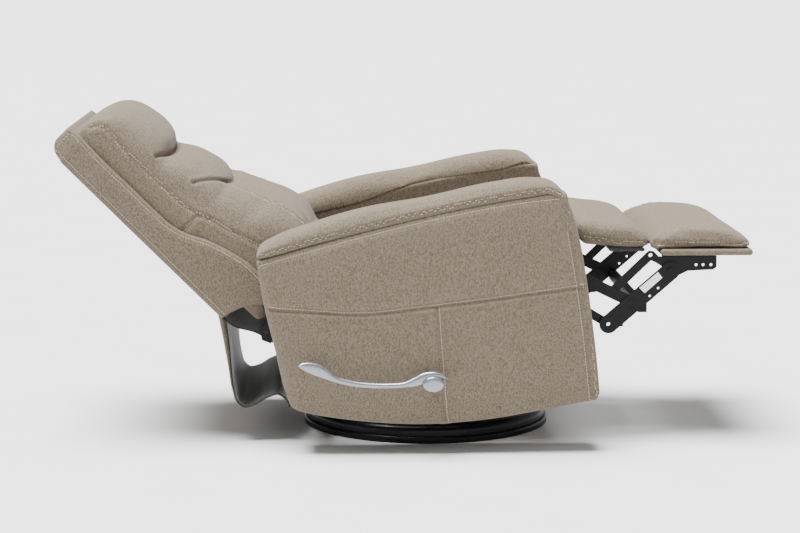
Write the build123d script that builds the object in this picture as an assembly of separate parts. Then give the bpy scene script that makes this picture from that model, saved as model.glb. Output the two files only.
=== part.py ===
from build123d import *
import math
import os

# Reclining swivel glider chair, millimetres.
# Origin: centre of the round base, on the floor. +X is the way the sitter faces, +Y their left, +Z up.
# Drawn fully reclined: back laid down, footrest out, handle pointing rearward.

# ---- round base and swivel bearing ----
BASE_RADIUS = 291.0
BASE_LIP_HEIGHT = 15.0
BASE_GROOVE_DEPTH = 5.0
BASE_GROOVE_HEIGHT = 3.0
BASE_TIER_RADIUS = 287.0
BASE_HEIGHT = 40.0
PLATE_SIDE = 200.0
PLATE_THICKNESS = 3.0
RING_RADIUS = 70.0
PIN_RADIUS = 8.0
RUNNING_FIT = 0.05

# ---- glider: four swing arms hang the chair from the cradle ----
POST_X = 120.0
POST_Y = 146.0
POST_THICKNESS = 6.0
SWING_Y = 138.0
SWING_THICKNESS = 4.0
RAIL_Y = 131.0
RAIL_THICKNESS = 3.0
SWING_TOP_Z = 158.0
SWING_LENGTH = 80.0
AXLE_RADIUS = 6.0
CRADLE_BOTTOM = 49.3
CRADLE_TUBE = 16.0

# ---- arms (one each side) ----
ARM_INNER_Y = 290.0
ARM_OUTER_Y = 412.0
ARM_PANEL_THICKNESS = 24.0
ARM_BOARD_THICKNESS = 12.0
GAP = 0.4
ARM_CROWN = [(-397, 450), (-386, 469), (-353, 493), (-281, 520), (-161, 555), (-12, 581), (137, 614), (239, 626), (281, 610), (296, 588)]
ARM_FRONT = [(295, 584), (318, 500), (336, 396), (352, 287), (371, 125)]
ARM_BOTTOM = [(371, 125), (255, 103), (135, 82), (-30, 70), (-163, 78), (-283, 97), (-318, 106)]
ARM_REAR = [(-318, 106), (-331, 140), (-354, 237), (-376, 328), (-397, 450)]
ARM_FRONT_PANEL = [(284, 572), (304, 530), (326, 430), (341, 300), (350, 142), (369, 142), (352, 287), (336, 396), (318, 500), (292, 580)]
ARM_REAR_PANEL = [(-389, 430), (-372, 428), (-352, 328), (-332, 237), (-320, 150), (-329, 148), (-350, 237), (-372, 328)]
PAD_SEAM = [(-394, 436), (-281, 468), (-104, 515), (74, 555), (191, 575), (276, 585)]

# ---- handle and drive tube ----
HANDLE_X = -4.0
HANDLE_Z = 171.0
TUBE_RADIUS = 10.0
HANDLE_TOP = [(31, 186), (16, 198), (-10, 203), (-40, 196), (-80, 182), (-140, 175), (-210, 182), (-270, 204), (-300, 217)]
HANDLE_UNDER = [(-300, 217), (-303, 210), (-275, 196), (-210, 171), (-140, 162), (-80, 163), (-30, 158), (-4, 153)]

# ---- reclining back, laid down at 45 degrees: u runs up the back, v out of its front ----
RECLINE_X = -312.0
RECLINE_Z = 390.0
BACK_HALF_WIDTH = 283.0
BACK_TOP_U = 1092.0
BACK_REAR_V = -132.0
BACK_SIDE_THICKNESS = 7.5
CUSHION_HALF_WIDTH = 268.0
CUSHION_BACK_V = -58.0
HEAD_LOBE = [(1073, -50), (1068, -21), (1059, 11), (1043, 35), (1018, 52), (988, 61), (952, 67), (909, 63), (884, 56)]
MIDDLE_LOBE = [(880, 56), (868, 62), (841, 76), (810, 86), (779, 96), (743, 97)]
LUMBAR_LOBE = [(739, 97), (712, 111), (686, 124), (658, 137), (630, 152), (600, 162), (567, 168), (512, 166)]
BACK_SIDE = [(1080, -119.6), (1080, -62), (1027, -66), (750, -59), (697, -28), (624, -4), (568, 3), (528, -4)]
BACK_SIDE_FOOT = [(500, -18), (498, -43), (509, -55), (528, -86), (541, -119.6)]

# ---- seat ----
SEAT_HINGE_X = -190.0
SEAT_HINGE_Z = 345.0
SEAT_SIDE = [(-190, 440), (-190, 452), (-176, 460), (60, 488), (250, 508), (315, 512), (330, 505), (335, 490), (335, 440)]
SEAT_HALF_WIDTH = 284.0

# ---- footrest linkage: pivots of one side, x and z ----
FRONT_PIVOT = (276.5, 410.9)
REAR_PIVOT = (224.9, 380.5)
CROSS_PIVOT = (458.2, 322.9)
SHORT_PIVOT = (414.4, 346.9)
LOW_PIVOT = (406.2, 271.7)
TIP_PIVOT = (547.6, 394.9)
TOE_PIVOT = (501.1, 430.4)
LINK_THICKNESS = 3.0
LINK_PITCH = 3.6
LINK_INNER_Y = 258.0
RIVET_RADIUS = 4.5
RIVET_HEAD_RADIUS = 7.5

# ---- chaise pad and ottoman ----
CHAISE_SIDE = [(338, 510), (401, 509), (449, 502), (486, 486), (496, 468), (493, 446), (457, 446), (421, 451), (386, 460), (346, 464)]
OTTOMAN_SIDE = [(501, 447), (503, 462), (519, 474), (548, 486), (600, 492), (645, 490), (696, 482), (724, 470), (738, 457), (741, 446), (726, 442)]
OTTOMAN_HALF_WIDTH = 284.0
CHAISE_HALF_WIDTH = 262.0

# ---- cloth between the back and the frame ----
TAIL_TOP = (-482.0, 289.0)
TAIL_BEND = (-443.0, 86.0)
TAIL_RISE = (-347.0, 112.0)
TAIL_FOOT = (-326.0, 78.0)
TAIL_THICKNESS = 8.0
TAIL_HALF_WIDTH = 270.0


def block(x0, x1, y0, y1, z0, z1):
    """A box between two corners."""
    size = Box(x1 - x0, y1 - y0, z1 - z0)
    return Pos((x0 + x1) / 2, (y0 + y1) / 2, (z0 + z1) / 2) * size


def rod(x, z, radius, y0, y1):
    """A round bar along Y."""
    bar = Cylinder(radius, y1 - y0)
    return Pos(x, (y0 + y1) / 2, z) * Rot(90, 0, 0) * bar


def side_plane(y):
    """The X-Z plane at a given y."""
    return Plane(origin=(0, y, 0), x_dir=(1, 0, 0), z_dir=(0, -1, 0))


def profile(y0, y1, *runs):
    """A solid between y0 and y1 whose outline in X-Z is a chain of curves; a two-point run is straight."""
    edges = []
    for run in runs:
        points = [(float(x), float(z)) for x, z in run]
        edges.append(Line(*points) if len(points) == 2 else Spline(*points))
    wire = Wire(edges)
    face = side_plane(y0) * make_face(wire)
    return extrude(face, amount=-(y1 - y0))


def plate(y0, y1, points):
    """A solid between y0 and y1 with a straight-edged outline in X-Z."""
    outline = Polyline(*[(float(x), float(z)) for x, z in points], close=True)
    face = side_plane(y0) * make_face(outline)
    return extrude(face, amount=-(y1 - y0))


def bar_between(a, b, width, y0, y1):
    """A flat bar with round ends from a to b."""
    angle = math.degrees(math.atan2(b[1] - a[1], b[0] - a[0]))
    length = math.dist(a, b)
    slot = Rot(0, 0, angle) * SlotCenterToCenter(length, width)
    centre = Pos((a[0] + b[0]) / 2, (a[1] + b[1]) / 2) * slot
    face = side_plane(y0) * centre
    return extrude(face, amount=-(y1 - y0))


def both_sides(part):
    """The part and its mirror image across the middle of the chair."""
    return [part, mirror(part, about=Plane.XZ)]


def back_point(u, v):
    """A point of the reclined back, from its height u and depth v, in X-Z."""
    s = math.sqrt(0.5)
    return (s * (v - u), s * (v + u))


def back_points(points):
    return [back_point(u, v) for u, v in points]


def back_bar(u0, u1, v0, v1, y0, y1):
    """A square-edged bar aligned with the reclined back."""
    return plate(y0, y1, back_points([(u0, v0), (u1, v0), (u1, v1), (u0, v1)]))


def save(node, solids):
    """Writes one node's STEP file."""
    shapes = solids if isinstance(solids, list) else [solids]
    flat = [s for shape in shapes for s in shape.solids()]
    export_step(flat[0] if len(flat) == 1 else Compound(children=flat), f"parts/{node}.step")


# ---------------------------------------------------------------- base
def base_disk():
    """Turned disk: a lip, a shallow groove and an upper tier with a rounded edge."""
    lip = Cylinder(BASE_RADIUS, BASE_LIP_HEIGHT, align=(Align.CENTER, Align.CENTER, Align.MIN))
    lip = fillet(lip.edges().group_by(Axis.Z)[-1], 5)
    waist = Pos(0, 0, BASE_LIP_HEIGHT) * Cylinder(
        BASE_TIER_RADIUS - BASE_GROOVE_DEPTH, BASE_GROOVE_HEIGHT, align=(Align.CENTER, Align.CENTER, Align.MIN)
    )
    tier_height = BASE_HEIGHT - BASE_LIP_HEIGHT - BASE_GROOVE_HEIGHT
    tier = Cylinder(BASE_TIER_RADIUS, tier_height, align=(Align.CENTER, Align.CENTER, Align.MIN))
    tier = fillet(tier.edges().group_by(Axis.Z)[-1], 14)
    return lip + waist + Pos(0, 0, BASE_LIP_HEIGHT + BASE_GROOVE_HEIGHT) * tier


def bearing_plate(z, hole):
    """Square pressed-steel plate with rounded corners and a hole for the pin."""
    plate_body = Pos(0, 0, z + PLATE_THICKNESS / 2) * Box(PLATE_SIDE, PLATE_SIDE, PLATE_THICKNESS)
    plate_body = fillet(plate_body.edges().filter_by(Axis.Z), 12)
    if hole:
        plate_body -= Pos(0, 0, z) * Cylinder(hole, 4 * PLATE_THICKNESS)
    return plate_body


def bolt_heads(z, height):
    """Four domed bolt heads near the corners of the bearing plate."""
    reach = PLATE_SIDE / 2 - 18
    heads = []
    for sx in (-1, 1):
        for sy in (-1, 1):
            head = Pos(sx * reach, sy * reach, z + height / 2) * Cylinder(7, height)
            heads.append(fillet(head.edges().group_by(Axis.Z)[-1], 1))
    return heads


# ---------------------------------------------------------------- glider
def swing_arms(x):
    """A left and a right hanging arm."""
    arms = []
    bottom = (x, SWING_TOP_Z - SWING_LENGTH)
    for side in (-1, 1):
        y0 = SWING_Y if side > 0 else -SWING_Y - SWING_THICKNESS
        y1 = y0 + SWING_THICKNESS
        arm = bar_between((x, SWING_TOP_Z), bottom, 26, y0, y1)
        arm -= rod(x, SWING_TOP_Z, AXLE_RADIUS + RUNNING_FIT, y0 - 1, y1 + 1)
        arm -= rod(x, bottom[1], AXLE_RADIUS, y0 - 1, y1 + 1)
        arms.append(arm)
    return arms


def glider_rail():
    """Steel rail that the lower axles carry, on the left side."""
    low = SWING_TOP_Z - SWING_LENGTH
    rail = block(-231.6, 204.6, RAIL_Y, RAIL_Y + RAIL_THICKNESS, low - 10, low + 15)
    for x in (-POST_X, POST_X):
        rail -= rod(x, low, AXLE_RADIUS + RUNNING_FIT, RAIL_Y - 1, RAIL_Y + RAIL_THICKNESS + 1)
    return rail


# ---------------------------------------------------------------- arms
def arm_outer_panel(side):
    """Padded outer side of one arm, with the handle's hole in the right one."""
    y0 = ARM_OUTER_Y - ARM_PANEL_THICKNESS
    seam = [(x, z - GAP) for x, z in PAD_SEAM]
    panel = profile(y0, ARM_OUTER_Y, seam, [seam[-1], ARM_FRONT[0]], ARM_FRONT, ARM_BOTTOM, ARM_REAR[:-1] + [seam[0]])
    if side < 0:
        panel = mirror(panel, about=Plane.XZ)
        panel -= rod(HANDLE_X, HANDLE_Z, TUBE_RADIUS + 3, -ARM_OUTER_Y - 5, -y0 + 5)
    return panel


def arm_inner_panel():
    """Padded inner side of the left arm."""
    outline = [(-330, 130), (350, 140), (322, 440), (282, 568), (74, 545), (-104, 505), (-281, 458), (-372, 426)]
    return plate(ARM_INNER_Y, ARM_INNER_Y + 10, outline)


def arm_board(y0, holes_at):
    """Plywood side board of an arm."""
    outline = [(-310, 135), (-30, 90), (340, 140), (316, 440), (278, 568), (74, 545), (-104, 505), (-281, 458), (-364, 428), (-318, 180)]
    board = plate(y0, y0 + ARM_BOARD_THICKNESS, outline)
    if holes_at:
        board -= rod(HANDLE_X, HANDLE_Z, holes_at, y0 - 5, y0 + ARM_BOARD_THICKNESS + 5)
    return board


def arm_blocks():
    """Spacer blocks between the two boards of the left arm."""
    y0 = ARM_INNER_Y + 10 + GAP + ARM_BOARD_THICKNESS + GAP
    y1 = ARM_OUTER_Y - ARM_PANEL_THICKNESS - ARM_BOARD_THICKNESS - 2 * GAP
    places = [(-300, 180), (-60, 110), (260, 160), (260, 520), (-60, 480), (-300, 400)]
    return [block(x - 20, x + 20, y0, y1, z - 15, z + 15) for x, z in places]


def arm_top_pad():
    """Padded top of the left arm."""
    end = ARM_CROWN[-1]
    return profile(
        ARM_INNER_Y, ARM_OUTER_Y, ARM_CROWN, [end, PAD_SEAM[-1]], PAD_SEAM[::-1], [PAD_SEAM[0], ARM_CROWN[0]]
    )


def arm_end_panel(outline):
    """Padded front or rear end of the left arm, between the two side panels."""
    y0 = ARM_INNER_Y + 10 + GAP
    y1 = ARM_OUTER_Y - ARM_PANEL_THICKNESS - GAP
    return plate(y0, y1, outline)


# ---------------------------------------------------------------- handle
def handle():
    """Curved pull handle with a hooked end over its pivot."""
    top = HANDLE_TOP
    end = [HANDLE_UNDER[-1], (16, 160), (22, 175), top[0]]
    body = profile(-458, -446, top, HANDLE_UNDER[:2], HANDLE_UNDER[1:], end)
    return fillet(body.edges().filter_by(GeomType.BSPLINE), 2.5)


def handle_cap():
    """Oval cap over the handle's pivot."""
    face = side_plane(-458 - GAP) * Pos(HANDLE_X, HANDLE_Z) * Ellipse(23.5, 18)
    cap = extrude(face, amount=9)
    return fillet(cap.edges().group_by(Axis.Y)[0], 3)


# ---------------------------------------------------------------- back
def back_side_panel():
    """Padded side of the outer back, on the left."""
    y0 = BACK_HALF_WIDTH - BACK_SIDE_THICKNESS
    return plate(y0, BACK_HALF_WIDTH, back_points(BACK_SIDE + BACK_SIDE_FOOT))


def back_rear_panel():
    """Padded rear of the outer back, gently bulged."""
    rear = back_points([(1092, -124), (1060, -138), (900, -145), (700, -142), (545, BACK_REAR_V)])
    front = back_points([(545, -120), (1092, -120)])
    return profile(-BACK_HALF_WIDTH, BACK_HALF_WIDTH, rear, [rear[-1], front[0]], front, [front[-1], rear[0]])


def back_top_panel():
    """Padded top edge of the outer back."""
    return back_bar(1080 + GAP, BACK_TOP_U, -119.6, -60, -BACK_HALF_WIDTH, BACK_HALF_WIDTH)


def back_side_board():
    """Plywood side board of the back, on the left."""
    points = [(1078, -119), (1078, -66), (750, -64), (560, -64), (540, -80), (548, -119)]
    return plate(251, 269.6, back_points(points))


def cushion_lobe(front):
    """One lobe of the back cushion, crowned in front."""
    top = back_point(front[0][0], CUSHION_BACK_V)
    foot = back_point(front[-1][0], CUSHION_BACK_V)
    curve = back_points(front)
    return profile(-CUSHION_HALF_WIDTH, CUSHION_HALF_WIDTH, curve, [curve[-1], foot], [foot, top], [top, curve[0]])


def back_bracket():
    """Steel bracket that carries the left side of the back on its hinge."""
    points = [
        (-296, 390), (-300, 404), (-316, 408), (-340, 404), (-430, 392), (-500, 370), (-480, 338), (-400, 350),
        (-368, 283), (-392, 268), (-386, 240), (-366, 232), (-352, 250), (-336, 340), (-312, 372),
    ]
    bracket = plate(270, 273, points) - rod(-376, 258, 6, 268, 275)
    return bracket - rod(RECLINE_X, RECLINE_Z, 6 + RUNNING_FIT, 268, 275)


# ---------------------------------------------------------------- mechanism fixed to the frame
def base_rail():
    """Steel rail on the inner side of the left arm, with lobes for the seat and back hinges."""
    points = [(-326, 372), (-326, 404), (-298, 404), (-290, 372), (-215, 362), (160, 362), (160, 332), (-300, 332)]
    return plate(284.4, 287.4, points)


def hinge_pins():
    """Fixed pins of the back hinge and of the seat hinge, on the left."""
    back_pin = rod(RECLINE_X, RECLINE_Z, 6, 269, 284)
    seat_pin = rod(SEAT_HINGE_X, SEAT_HINGE_Z, 6, 257, 284)
    return [back_pin, seat_pin]


# ---------------------------------------------------------------- seat
def seat_side_plate():
    """Steel side plate of the seat, on the left."""
    points = [
        (-205, 332), (-175, 332), (-150, 388), (205, 388), (212, 368), (240, 368), (262, 396), (288, 400), (288, 436), (-190, 436),
    ]
    body = plate(LINK_INNER_Y, LINK_INNER_Y + LINK_THICKNESS, points)
    body -= rod(SEAT_HINGE_X, SEAT_HINGE_Z, 6 + RUNNING_FIT, 250, 265)
    for x, z in (FRONT_PIVOT, REAR_PIVOT):
        body -= rod(x, z, RIVET_RADIUS + RUNNING_FIT, 250, 265)
    return body


def seat_spring(y):
    """One sinuous spring strip under the cushion: a zigzag wire between the rails."""
    steps = 12
    start = -155.0
    pitch = (257.0 - start) / steps
    points = [(start + i * pitch, y + (16 if i % 2 else -16), 428) for i in range(steps + 1)]
    path = Polyline(*points)
    wire = Wire(path.edges())
    section = Plane(origin=points[0], z_dir=Vector(*points[1]) - Vector(*points[0])) * Circle(1.8)
    return sweep(section, path=wire, transition=Transition.ROUND)


# ---------------------------------------------------------------- linkage
def link_layer(index):
    """Inner and outer y of one layer of the linkage on the left side."""
    y0 = LINK_INNER_Y + index * LINK_PITCH
    return y0, y0 + LINK_THICKNESS


def drilled(part, points, y0, y1):
    """The part with a rivet hole at each point."""
    for x, z in points:
        part -= rod(x, z, RIVET_RADIUS + RUNNING_FIT, y0 - 1, y1 + 1)
    return part


def link(points, width, layer):
    """A bar link through a chain of pivots, drilled at each one."""
    y0, y1 = link_layer(layer)
    body = bar_between(points[0], points[-1], width, y0, y1)
    return drilled(body, points, y0, y1)


def rivet(point, first, last, head_out=True, head_in=True):
    """A shouldered rivet from one layer to another."""
    y0 = link_layer(first)[0]
    y1 = link_layer(last)[1]
    pin = rod(point[0], point[1], RIVET_RADIUS, y0 - 0.3, y1 + 0.3)
    if head_out:
        pin += rod(point[0], point[1], RIVET_HEAD_RADIUS, y1 + 0.3, y1 + 2.5)
    if head_in:
        pin += rod(point[0], point[1], RIVET_HEAD_RADIUS, y0 - 2.5, y0 - 0.3)
    return pin


def ottoman_bracket():
    """Angle bracket under the ottoman board, on the left, with two pivots and adjusting holes."""
    y0, y1 = link_layer(2)
    points = [
        (491, 434), (496, 440), (508, 440), (520, 427.5), (653, 427.5), (653, 403), (646, 397), (587, 394), (562, 382),
        (547, 380), (533, 388), (531, 402), (512, 414), (494, 422),
    ]
    web = plate(y0, y1, points)
    for x in (606, 622, 640):
        web -= rod(x, 408, 3.2, y0 - 1, y1 + 1)
    flange = block(530, 653, y0 - 24, y0, 425, 428)
    return drilled(web, [TIP_PIVOT, TOE_PIVOT], y0, y1) + flange


# ---------------------------------------------------------------- cloth tail
def tail_strip(a, b):
    """A flat strip of lined cloth from a to b, short of both ends."""
    length = math.dist(a, b)
    dx = (b[0] - a[0]) / length
    dz = (b[1] - a[1]) / length
    nx = -dz * TAIL_THICKNESS / 2
    nz = dx * TAIL_THICKNESS / 2
    inset = TAIL_THICKNESS
    a2 = (a[0] + dx * inset, a[1] + dz * inset)
    b2 = (b[0] - dx * inset, b[1] - dz * inset)
    corners = [(a2[0] + nx, a2[1] + nz), (b2[0] + nx, b2[1] + nz), (b2[0] - nx, b2[1] - nz), (a2[0] - nx, a2[1] - nz)]
    return plate(-TAIL_HALF_WIDTH, TAIL_HALF_WIDTH, corners)


def save_base():
    save("base_disk", base_disk())
    save("bearing_lower_plate", bearing_plate(BASE_HEIGHT, PIN_RADIUS))
    save("swivel_pin", Pos(0, 0, BASE_HEIGHT + 8) * Cylinder(PIN_RADIUS, 16))
    ring = Cylinder(RING_RADIUS, 3) - Cylinder(RING_RADIUS - 12, 5)
    save("bearing_ring", Pos(0, 0, BASE_HEIGHT + PLATE_THICKNESS + 1.5) * ring)
    save("base_bolts", bolt_heads(BASE_HEIGHT + PLATE_THICKNESS, 2.5))


def save_cradle():
    """The parts that swivel on the base and carry the swing arms."""
    upper_z = CRADLE_BOTTOM - PLATE_THICKNESS
    top = CRADLE_BOTTOM + CRADLE_TUBE
    save("bearing_upper_plate", bearing_plate(upper_z, PIN_RADIUS + RUNNING_FIT))
    crossbars = [block(x - 15, x + 15, -POST_Y, POST_Y, CRADLE_BOTTOM, top) for x in (-65, 65)]
    side_bar = block(-POST_X - 16, POST_X + 16, POST_Y, POST_Y + POST_THICKNESS, CRADLE_BOTTOM, top)
    save("cradle_bars", crossbars + both_sides(side_bar))
    posts = []
    axles = []
    for x in (-POST_X, POST_X):
        post = block(x - 14, x + 14, POST_Y, POST_Y + POST_THICKNESS, top, SWING_TOP_Z + 14)
        posts += both_sides(post - rod(x, SWING_TOP_Z, AXLE_RADIUS, POST_Y - 1, POST_Y + POST_THICKNESS + 1))
        axles += both_sides(rod(x, SWING_TOP_Z, AXLE_RADIUS, SWING_Y - 2, POST_Y + POST_THICKNESS + 3))
    save("hanger_posts", posts)
    save("hanger_pins", axles)


def save_glider():
    low = SWING_TOP_Z - SWING_LENGTH
    for name, x in (("front", POST_X), ("rear", -POST_X)):
        save(f"{name}_swing_arms", swing_arms(x))
        save(f"{name}_glide_axle", rod(x, low, AXLE_RADIUS, -POST_Y + 2, POST_Y - 2))
    save("glider_rails", both_sides(glider_rail()))


def save_arms():
    inner_y = ARM_INNER_Y + 10 + GAP
    outer_y = ARM_OUTER_Y - ARM_PANEL_THICKNESS - ARM_BOARD_THICKNESS - GAP
    save("arm_outer_panels", [arm_outer_panel(1), arm_outer_panel(-1)])
    save("arm_top_pads", both_sides(arm_top_pad()))
    save("arm_end_panels", both_sides(arm_end_panel(ARM_FRONT_PANEL)) + both_sides(arm_end_panel(ARM_REAR_PANEL)))
    inner_panel = arm_inner_panel() - rod(HANDLE_X, HANDLE_Z, TUBE_RADIUS + 3, 280, 320)
    save("arm_inner_panels", both_sides(inner_panel))
    hole = TUBE_RADIUS + RUNNING_FIT
    save("arm_inner_boards", both_sides(arm_board(inner_y, hole)))
    save("arm_outer_boards", [arm_board(outer_y, 0), mirror(arm_board(outer_y, TUBE_RADIUS + 3), about=Plane.XZ)])
    blocks = arm_blocks()
    save("arm_spacer_blocks", blocks + [mirror(b, about=Plane.XZ) for b in blocks])


def save_frame():
    reach = ARM_INNER_Y - GAP
    front_board = block(205, 223, -reach, reach, 96, 140)
    rear_board = block(-250, -232, -reach, reach, 100, 190)
    save("frame_cross_boards", [front_board, rear_board])
    front_rail = block(174.6, 204.6, -200, 200, 93.4, 120)
    rear_carrier = block(-231.6, -201.6, -200, 200, 93.4, 120)
    save("glider_cross_rails", [front_rail, rear_carrier])
    save("rear_rail", block(-318, -306, -reach, reach, 110, 128))
    save("mechanism_base_rails", both_sides(base_rail()))
    pins = hinge_pins()
    save("frame_hinge_pins", pins + [mirror(p, about=Plane.XZ) for p in pins])


def save_handle():
    save("lever_handle", handle())
    save("lever_cap", handle_cap())
    save("drive_tube", rod(HANDLE_X, HANDLE_Z, TUBE_RADIUS, -446 + GAP, 312))


def save_seat():
    save("seat_side_plates", both_sides(seat_side_plate()))
    width = LINK_INNER_Y - GAP
    save("seat_rails", [block(260, 284, -width, width, 421, 436), block(-180, -158, -width, width, 402, 436)])
    save("seat_springs", [seat_spring(y) for y in (-200, -100, 0, 100, 200)])
    save("seat_cushion", plate(-SEAT_HALF_WIDTH, SEAT_HALF_WIDTH, SEAT_SIDE))
    pins = [rivet(FRONT_PIVOT, 0, 2), rivet(REAR_PIVOT, 0, 1)]
    save("seat_pivot_rivets", pins + [mirror(p, about=Plane.XZ) for p in pins])


def save_back():
    save("back_side_boards", both_sides(back_side_board()))
    rails = [back_bar(u, u + 50, -112, -90, -250.6, 250.6) for u in (560, 790, 1020)]
    save("back_cross_rails", rails)
    save("back_side_panels", both_sides(back_side_panel()))
    save("back_rear_panel", back_rear_panel())
    save("back_top_panel", back_top_panel())
    save("back_cushion_head", cushion_lobe(HEAD_LOBE))
    save("back_cushion_middle", cushion_lobe(MIDDLE_LOBE))
    save("back_cushion_lumbar", cushion_lobe(LUMBAR_LOBE))
    save("back_brackets", both_sides(back_bracket()))


def save_tail():
    save("tail_cloth_upper", tail_strip(TAIL_TOP, TAIL_BEND))
    save("tail_cloth_middle", tail_strip(TAIL_BEND, TAIL_RISE))
    save("tail_cloth_lower", tail_strip(TAIL_RISE, TAIL_FOOT))


def save_links():
    save("front_links", both_sides(link([FRONT_PIVOT, SHORT_PIVOT, CROSS_PIVOT], 26, 2)))
    save("rear_links", both_sides(link([REAR_PIVOT, LOW_PIVOT], 20, 1)))
    long_link = link([LOW_PIVOT, CROSS_PIVOT, TIP_PIVOT], 42, 3)
    for x, z in ((519, 355), (500, 337)):
        long_link -= rod(x, z, 2.6, *link_layer(3))
    save("long_links", both_sides(long_link))
    save("short_links", both_sides(link([SHORT_PIVOT, TOE_PIVOT], 20, 1)))
    save("front_link_rivets", both_sides(rivet(CROSS_PIVOT, 2, 3)) + both_sides(rivet(SHORT_PIVOT, 1, 2, head_out=False)))
    save("long_link_rivets", both_sides(rivet(TIP_PIVOT, 2, 3)))
    top = link_layer(3)[1] + GAP
    label = plate(top, top + 0.6, [(476, 356), (518, 392), (528, 379), (488, 344)])
    save("link_label", mirror(label, about=Plane.XZ))
    x, z = CROSS_PIVOT
    inner = link_layer(3)[0]
    save("footrest_crossbar", block(x + 16, x + 36, -inner + GAP, inner - GAP, z - 24, z - 4))
    save("link_bumpers", both_sides(block(424, 440, inner - 14, inner - GAP, 266, 282)))


def save_footrest():
    save("ottoman_brackets", both_sides(ottoman_bracket()))
    save("ottoman_board", block(523, 726, -280, 280, 429, 441))
    outline = OTTOMAN_SIDE
    pad = profile(-OTTOMAN_HALF_WIDTH, OTTOMAN_HALF_WIDTH, outline, [outline[-1], outline[0]])
    save("ottoman_pad", pad)
    save("chaise_board", block(400, 491, -250, 250, 436, 444))
    save("chaise_pad", plate(-CHAISE_HALF_WIDTH, CHAISE_HALF_WIDTH, CHAISE_SIDE))


os.makedirs("parts", exist_ok=True)
save_base()
save_cradle()
save_glider()
save_arms()
save_frame()
save_handle()
save_seat()
save_back()
save_tail()
save_links()
save_footrest()
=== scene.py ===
import math

import bmesh
import bpy
import numpy as np
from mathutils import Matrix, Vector
from mathutils.bvhtree import BVHTree
from mathutils.kdtree import KDTree


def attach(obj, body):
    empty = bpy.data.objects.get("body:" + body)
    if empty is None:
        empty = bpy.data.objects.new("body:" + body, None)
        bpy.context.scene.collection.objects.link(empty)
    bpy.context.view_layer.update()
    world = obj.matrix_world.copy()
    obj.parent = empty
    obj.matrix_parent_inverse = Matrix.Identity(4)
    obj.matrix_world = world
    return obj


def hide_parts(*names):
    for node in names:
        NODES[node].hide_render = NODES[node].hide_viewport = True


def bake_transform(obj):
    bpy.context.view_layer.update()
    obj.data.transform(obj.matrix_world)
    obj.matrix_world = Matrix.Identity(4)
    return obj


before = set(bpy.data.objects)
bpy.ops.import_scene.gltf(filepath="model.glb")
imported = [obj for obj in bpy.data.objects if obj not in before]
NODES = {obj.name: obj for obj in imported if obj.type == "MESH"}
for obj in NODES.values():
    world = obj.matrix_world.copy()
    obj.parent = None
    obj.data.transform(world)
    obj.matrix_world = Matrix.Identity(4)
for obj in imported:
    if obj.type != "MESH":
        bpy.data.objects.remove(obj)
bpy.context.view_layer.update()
MM = 0.001
FLOOR_HALF = 150000
SKY_STRENGTH = 0.62
KEY_STRENGTH = 15
KEY_SPREAD_DEG = 35
KEY_AIM = (0.2, 0.05, -1)
CAMERA_AIM_AT = (-0.0617, 0, 0.3696)
CAMERA_BACK = (-0.0346, -0.9897, 0.1392)
CAMERA_DISTANCE = 5.512
CAMERA_LENS_MM = 103.7
SIDES = (("left", 1), ("right", -1))

# ---------------------------------------------------------------- outlines, in mm (x, z) unless said
ARM_FRONT = [(371, 125), (352, 287), (336, 396), (318, 500), (295, 584)]
ARM_BOTTOM = [(-318, 106), (-283, 97), (-163, 78), (-30, 70), (135, 82), (255, 103), (371, 125)]
ARM_REAR = [(-318, 106), (-331, 140), (-354, 237), (-376, 328), (-394, 436)]
PAD_SEAM = [(-394, 436), (-281, 468), (-104, 515), (74, 555), (191, 575), (276, 585), (295, 584)]
PANEL_SEAM = [(-370, 331), (-282, 326), (-163, 320), (-15, 335), (104, 349), (224, 365), (338, 379)]
PANEL_CROSS_SEAM = [(6, 336), (12, 253), (19, 162), (25, 76)]
PAD_STRIP = [
    (-396, 441, -395, 435), (-389, 458, -388, 438), (-353, 484, -345, 449), (-281, 511, -277, 469),
    (-161, 546, -155, 501), (-12, 572, -10, 537), (137, 605, 137, 566), (225, 616, 222, 579),
    (262, 611, 257, 583), (284, 595, 271, 577), (299, 566, 283, 558), (318, 500, 302, 495),
    (338, 396, 321, 394), (354, 287, 337, 285), (364, 205, 347, 204), (372, 128, 355, 127),
]
ARM_MID_Y = 351
ARM_INNER_Y = 289
ARM_OUTER_Y = 408
PAD_HALF = 62

HEAD = [
    (1073, -50), (1068, -21), (1059, 11), (1043, 35), (1018, 52), (988, 61), (952, 67), (909, 63), (884, 52),
]
MIDDLE = [(868, 62), (841, 76), (810, 86), (779, 96), (752, 98), (741, 93)]
LUMBAR = [(730, 103), (712, 111), (686, 124), (658, 137), (630, 152), (600, 162), (567, 168), (512, 166)]
CUSHION_SEAM = [
    (1073, -50), (1052, -17), (955, -11), (844, -9), (757, -2), (716, 14), (671, 25), (609, 45), (512, 62),
]
HEAD_CREASE = 876
LOW_CREASE = 730
CUSHION_HALF = 272
CUSHION_BACK = -84
BACK_HALF = 283
BACK_FRONT_EDGE = [
    (1092, -57), (1060, -59), (1027, -61), (960, -62), (890, -61), (820, -61), (775, -59), (745, -52),
    (720, -41), (697, -29), (660, -15), (624, -5), (596, 1), (568, 3), (545, 1), (528, -4), (500, -18),
]
BACK_FOOT = [(-18, 500), (-43, 498), (-55, 509), (-86, 528), (-119.6, 541), (-145, 546)]

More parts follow.
